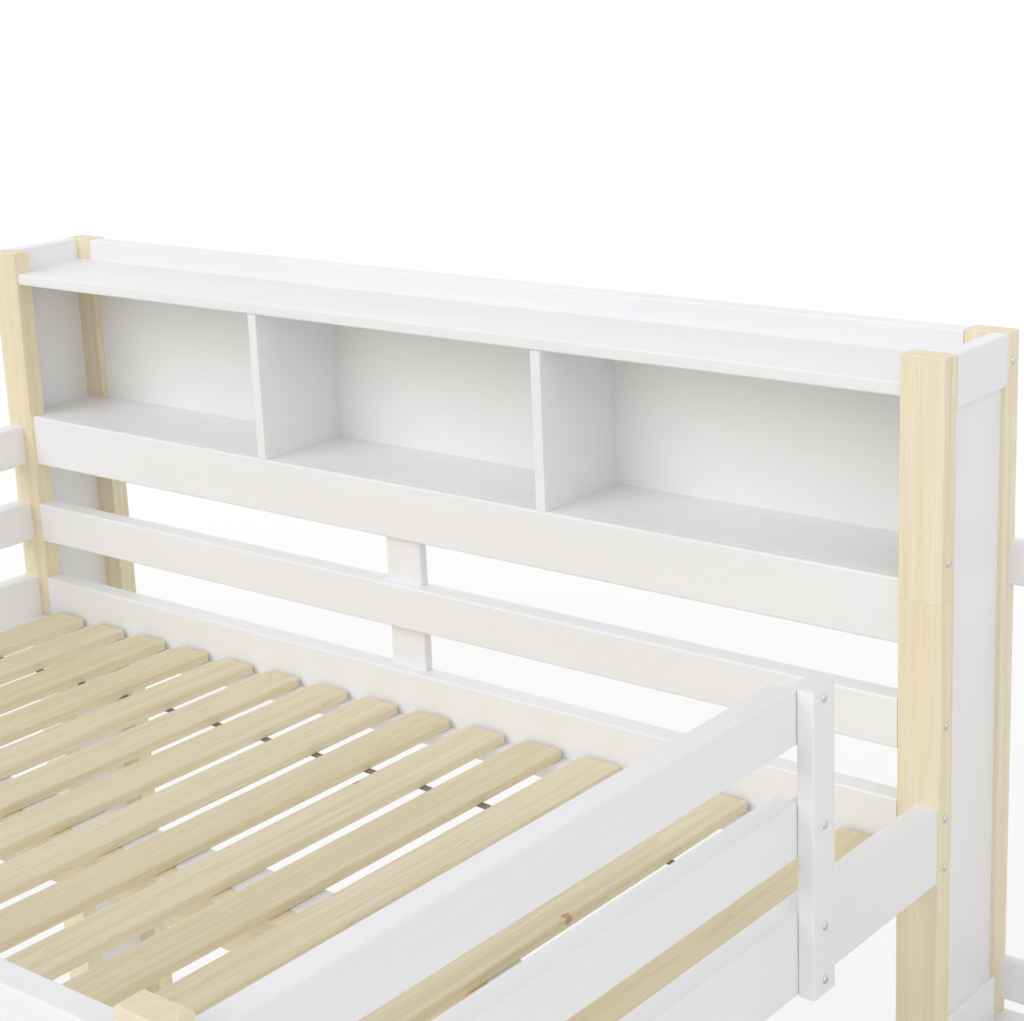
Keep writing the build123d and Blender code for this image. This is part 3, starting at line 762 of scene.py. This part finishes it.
@dataclass(frozen=True)
class SlattedBase:
    """Pine slats on white ledgers, held apart by two woven tapes, with a beam under their middle."""

    slat_width_mm: float = 80.0
    slat_count: int = 16
    tape_width_mm: float = 16.0
    tape_thickness_mm: float = 1.5
    tape_sag_mm: float = 1.1
    step_mm: float = 5.0
    ledgers: tuple[str, ...] = ("wall_slat_ledger", "near_slat_ledger", "slat_beam_cap")

    def pitch_mm(self) -> float:
        """Returns the distance from one slat to the next."""
        low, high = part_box("slats")
        return ((high.x - low.x) / MM - self.slat_width_mm) / (self.slat_count - 1)

    def build(self, shop: Workshop) -> None:
        """Dresses the wood and makes the tapes."""
        low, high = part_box("slats")
        pitch = self.pitch_mm()
        gap = pitch - self.slat_width_mm
        pine = PlanedPine(
            "pine_slats",
            Grain.Y,
            centre_mm=(0.0, (low.z + high.z) / (2 * MM)),
            heart_width_mm=(-60.0, 60.0),
            heart_depth_mm=(25.0, 80.0),
            start_mm=low.x / MM - gap / 2,
            pitch_mm=pitch,
            knot_share=0.14,
            # Early and late wood a little darker than the posts' pine: painted shade for the rails' shadow on
            # the slats
            early="#ECE2C8",
            late="#D2C093",
        )
        shop.dress("slats", pine)
        beam = PlanedPine(
            "pine_slat_beam_web", Grain.X, centre_mm=centre_mm("slat_beam_web", Grain.X), seed=21.0
        )
        shop.dress("slat_beam_web", beam)
        for node in self.ledgers:
            shop.dress(node, LacqueredTimber("white_lacquer_x", Grain.X))
        shop.add_piece("woven_slat_tapes", self.tapes(), WovenTape("woven_cotton_tape"), "slat_tapes")

    def tapes(self) -> bmesh.types.BMesh:
        """Returns both tapes, flat under each slat and hanging slightly between two slats."""
        low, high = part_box("slat_tapes")
        half = self.tape_width_mm / 2
        shape = bmesh.new()
        for middle in (low.y / MM + half, high.y / MM - half):
            rings = [
                self.tape_ring(shape, low.x / MM + along, middle, high.z / MM)
                for along in self.stations((high.x - low.x) / MM)
            ]
            for near, far in zip(rings, rings[1:]):
                for place in range(len(near)):
                    after = (place + 1) % len(near)
                    shape.faces.new((near[place], near[after], far[after], far[place]))
            shape.faces.new(rings[0])
            shape.faces.new(list(reversed(rings[-1])))
        bmesh.ops.recalc_face_normals(shape, faces=shape.faces)
        return shape

    def stations(self, length_mm: float) -> list[float]:
        """Returns the places along a tape at which it has a cross section."""
        count = math.ceil(length_mm / self.step_mm)
        return [length_mm * place / count for place in range(count + 1)]

    def tape_ring(
        self, shape: bmesh.types.BMesh, x: float, middle: float, top: float
    ) -> list[bmesh.types.BMVert]:
        """Adds one cross section of a tape, with rounded selvedges.

        Args:
            shape: the mesh it goes into.
            x: its place along the tape, in millimetres, as the next two are.
            middle: middle of the tape's width.
            top: underside of the slats.

        Returns:
            Its corners in order.
        """
        pitch = self.pitch_mm()
        inside = (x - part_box("slats")[0].x / MM) % pitch
        gap = pitch - self.slat_width_mm
        share = max(0.0, inside - self.slat_width_mm) / gap
        face = top - self.tape_sag_mm * math.sin(math.pi * share)
        half, thick = self.tape_width_mm / 2, self.tape_thickness_mm
        outline = (
            (-half + 0.6, 0.0),
            (half - 0.6, 0.0),
            (half, -0.3 * thick),
            (half, -0.7 * thick),
            (half - 0.6, -thick),
            (-half + 0.6, -thick),
            (-half, -0.7 * thick),
            (-half, -0.3 * thick),
        )
        return [shape.verts.new((x * MM, (middle + across) * MM, (face + up) * MM)) for across, up in outline]


@dataclass(frozen=True)
class BoltHeads:
    """Low domed heads of the bolts that hold the rails to the posts."""

    nodes: tuple[str, ...] = ("wall_post_bolts", "near_post_bolts", "guard_board_bolts")
    sides: int = 28
    rings: int = 6
    rim_share: float = 0.28

    def build(self, shop: Workshop) -> None:
        """Makes a smooth dome in the place of each plain head."""
        for node in self.nodes:
            shape = bmesh.new()
            for head in self.plain_heads(node):
                self.add_dome(shape, head)
            shop.add_piece(f"domed_{node}", shape, ZincPlatedSteel("bright_zinc_bolt"), node)

    def plain_heads(self, node: str) -> list[list[Vector]]:
        """Returns the corners of each separate head in a node."""
        shape = bmesh.new()
        shape.from_mesh(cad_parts[node].data)
        bmesh.ops.remove_doubles(shape, verts=shape.verts, dist=0.01 * MM)
        shape.verts.ensure_lookup_table()
        seen: set[int] = set()
        heads = []
        for start in shape.verts:
            if start.index in seen:
                continue
            seen.add(start.index)
            waiting, corners = [start], []
            while waiting:
                corner = waiting.pop()
                corners.append(corner.co.copy())
                for edge in corner.link_edges:
                    other = edge.other_vert(corner)
                    if other.index not in seen:
                        seen.add(other.index)
                        waiting.append(other)
            heads.append(corners)
        shape.free()
        return heads

    def add_dome(self, shape: bmesh.types.BMesh, head: list[Vector]) -> None:
        """Adds one dome, as wide and high as the plain head and facing the same way.

        Args:
            shape: the mesh it goes into.
            head: corners of the plain head.
        """
        low = Vector([min(corner[side] for corner in head) for side in range(3)])
        high = Vector([max(corner[side] for corner in head) for side in range(3)])
        sizes = high - low
        way = min(range(3), key=lambda side: sizes[side])
        middle = (low + high) / 2
        radius = max(sizes) / 2
        height = sizes[way]

        def spread(level: float) -> float:
            """Returns how far the corners at one level lie from the head's axis."""
            level_corners = [c for c in head if abs(c[way] - level) < 0.05 * MM]
            off_axis = [(c - middle) for c in level_corners]
            for step in off_axis:
                step[way] = 0.0
            return max(step.length for step in off_axis)

        outward = spread(high[way]) < spread(low[way])
        facing = Vector((0.0, 0.0, 0.0))
        facing[way] = 1.0 if outward else -1.0
        base = middle.copy()
        base[way] = low[way] if outward else high[way]
        place = Matrix.Translation(base) @ facing.to_track_quat("Z", "Y").to_matrix().to_4x4()
        rim = self.rim_share * height
        profile = [(radius, 0.0), (radius, 0.6 * rim), (0.965 * radius, rim)]
        for ring in range(1, self.rings):
            angle = ring / self.rings * math.pi / 2
            profile.append((0.965 * radius * math.cos(angle), rim + (height - rim) * math.sin(angle)))
        loops = []
        for reach, up in profile:
            loop = []
            for side in range(self.sides):
                turn = 2 * math.pi * side / self.sides
                corner = Vector((reach * math.cos(turn), reach * math.sin(turn), up))
                loop.append(shape.verts.new(place @ corner))
            loops.append(loop)
        for inner, outer in zip(loops, loops[1:]):
            for side in range(self.sides):
                after = (side + 1) % self.sides
                shape.faces.new((inner[side], inner[after], outer[after], outer[side]))
        crown = shape.verts.new(place @ Vector((0.0, 0.0, height)))
        for side in range(self.sides):
            shape.faces.new((loops[-1][side], loops[-1][(side + 1) % self.sides], crown))
        shape.faces.new(list(reversed(loops[0])))


@dataclass(frozen=True)
class Stair:
    """Stair at the right end: pine posts, white landing, stringers, treads and rails."""

    posts: tuple[str, ...] = ("stair_front_post", "stair_rear_post", "stair_leg")
    boards: tuple[str, ...] = (
        "stair_rear_rail_top",
        "stair_rear_rail_low",
        "stair_side_rail_top",
        "stair_side_rail_low",
        "stair_stringer_inner",
        "stair_stringer_outer",
    )
    crosswise: tuple[str, ...] = ("landing_cross_bearers", "stair_treads")
    lengthwise: tuple[str, ...] = ("landing_side_bearers", "stair_landing")

    def build(self, shop: Workshop) -> None:
        """Dresses the stair."""
        for number, node in enumerate(self.posts):
            pine = PlanedPine(
                f"pine_{node}",
                Grain.Z,
                centre_mm=centre_mm(node, Grain.Z),
                seed=float(number + 12),
                knot_share=0.3,
            )
            shop.dress(node, pine)
        for node in self.boards:
            grain = longest_way(node)
            shop.dress(node, LacqueredTimber(f"white_lacquer_{grain.name.lower()}", grain))
        for node in self.crosswise:
            shop.dress(node, LacqueredTimber("white_lacquer_x", Grain.X))
        for node in self.lengthwise:
            shop.dress(node, LacqueredTimber("white_lacquer_y", Grain.Y))


@dataclass(frozen=True)
class SoftLamp:
    """One large soft lamp, far off, so that it lights every part of the bed alike."""

    name: str
    comes_from: tuple[float, float, float]
    strength: float
    spread_degrees: float
    colour: str = "#FFFFFF"

    def build(self) -> None:
        """Adds the lamp."""
        light = bpy.data.lights.new(self.name, "SUN")
        light.energy = self.strength
        light.angle = math.radians(self.spread_degrees)
        light.color = srgb(self.colour)[:3]
        lamp = bpy.data.objects.new(self.name, light)
        lamp.rotation_euler = Vector(self.comes_from).to_track_quat("Z", "Y").to_euler()
        bpy.context.scene.collection.objects.link(lamp)
        log.info("%s: strength %.2f", self.name, self.strength)


@dataclass(frozen=True)
class Studio:
    """Pale floor, white room and plain soft light."""

    floor_radius: float = 16.0
    floor_sides: int = 96
    room_strength: float = 0.46
    room_colour: str = "#FFFFFF"
    lamps: tuple[SoftLamp, ...] = (
        SoftLamp("key_lamp", (-0.3, -0.78, 0.52), 1.25, 50.0),
        SoftLamp("right_lamp", (0.85, -0.3, 0.5), 0.88, 70.0),
        SoftLamp("rear_lamp", (-0.25, 0.85, 0.55), 0.5, 80.0),
    )

    def build(self, shop: Workshop) -> None:
        """Builds the floor, the lamps and the room."""
        self.build_floor(shop)
        for lamp in self.lamps:
            lamp.build()
        self.build_room()
        bpy.context.scene.view_settings.view_transform = "Standard"

    def build_floor(self, shop: Workshop) -> None:
        """Lays the round floor that fades to white."""
        shape = bmesh.new()
        bmesh.ops.create_circle(shape, cap_ends=True, segments=self.floor_sides, radius=self.floor_radius)
        mesh = bpy.data.meshes.new("studio_floor")
        shape.to_mesh(mesh)
        shape.free()
        mesh.materials.append(shop.material(StudioFloor("pale_paper_floor")))
        floor = bpy.data.objects.new("studio_floor", mesh)
        bpy.context.scene.collection.objects.link(floor)
        floor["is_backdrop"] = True

    def build_room(self) -> None:
        """Lights the bed evenly from all around, and shows white behind it."""
        world = bpy.data.worlds.new("white_room")
        world.use_nodes = True
        tree = world.node_tree
        tree.nodes.clear()
        light = add_node(
            tree,
            "ShaderNodeBackground",
            inputs={"Color": srgb(self.room_colour), "Strength": self.room_strength},
        ).outputs[0]
        white = add_node(
            tree, "ShaderNodeBackground", inputs={"Color": srgb("#FFFFFF"), "Strength": 1.0}
        ).outputs[0]
        shown = add_node(
            tree, "ShaderNodeMixShader", inputs={0: seen_ray(tree), 1: light, 2: white}
        ).outputs[0]
        add_node(tree, "ShaderNodeOutputWorld", inputs={"Surface": shown})
        bpy.context.scene.world = world


@dataclass(frozen=True)
class ViewPoint:
    """The camera, from above the stair end and looking down along the bed."""

    location: tuple[float, float, float] = (2.1395, -1.9065, 2.6307)
    turn_degrees: float = 39.479
    tilt_degrees: float = 15.050
    roll_degrees: float = -2.482
    lens_mm: float = 73.09
    shift: tuple[float, float] = (0.0, -0.05)

    def build(self) -> None:
        """Adds the camera and makes it the scene's own."""
        settings = bpy.data.cameras.new("view_point")
        settings.sensor_width = 36.0
        settings.lens = self.lens_mm
        settings.shift_x, settings.shift_y = self.shift
        settings.clip_end = 100.0
        camera = bpy.data.objects.new("view_point", settings)
        turn = Matrix.Rotation(math.radians(self.turn_degrees), 4, "Z")
        tilt = Matrix.Rotation(math.radians(90 - self.tilt_degrees), 4, "X")
        roll = Matrix.Rotation(math.radians(self.roll_degrees), 4, "Z")
        camera.matrix_world = Matrix.Translation(self.location) @ turn @ tilt @ roll
        bpy.context.scene.collection.objects.link(camera)
        bpy.context.scene.camera = camera
        log.info("camera: %.1f mm lens", self.lens_mm)


def plain_numbers(box: object) -> object:
    """Returns a box's corners as plain lists of numbers."""
    if hasattr(box, "__len__"):
        return [plain_numbers(part) for part in box]
    return float(box)


def main() -> None:
    """Builds the scene piece by piece."""
    cad_box = plain_numbers(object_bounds())
    shop = Workshop()
    ViewPoint().build()
    Studio().build(shop)
    for assembly in (Posts(), Railing(), Shelf(), EndFrames(), SlattedBase(), BoltHeads(), Stair()):
        log.info("%s", type(assembly).__name__)
        assembly.build(shop)
    {"cad": cad_box, "visual": plain_numbers(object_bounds())}


if __name__ == "__main__":
    main()
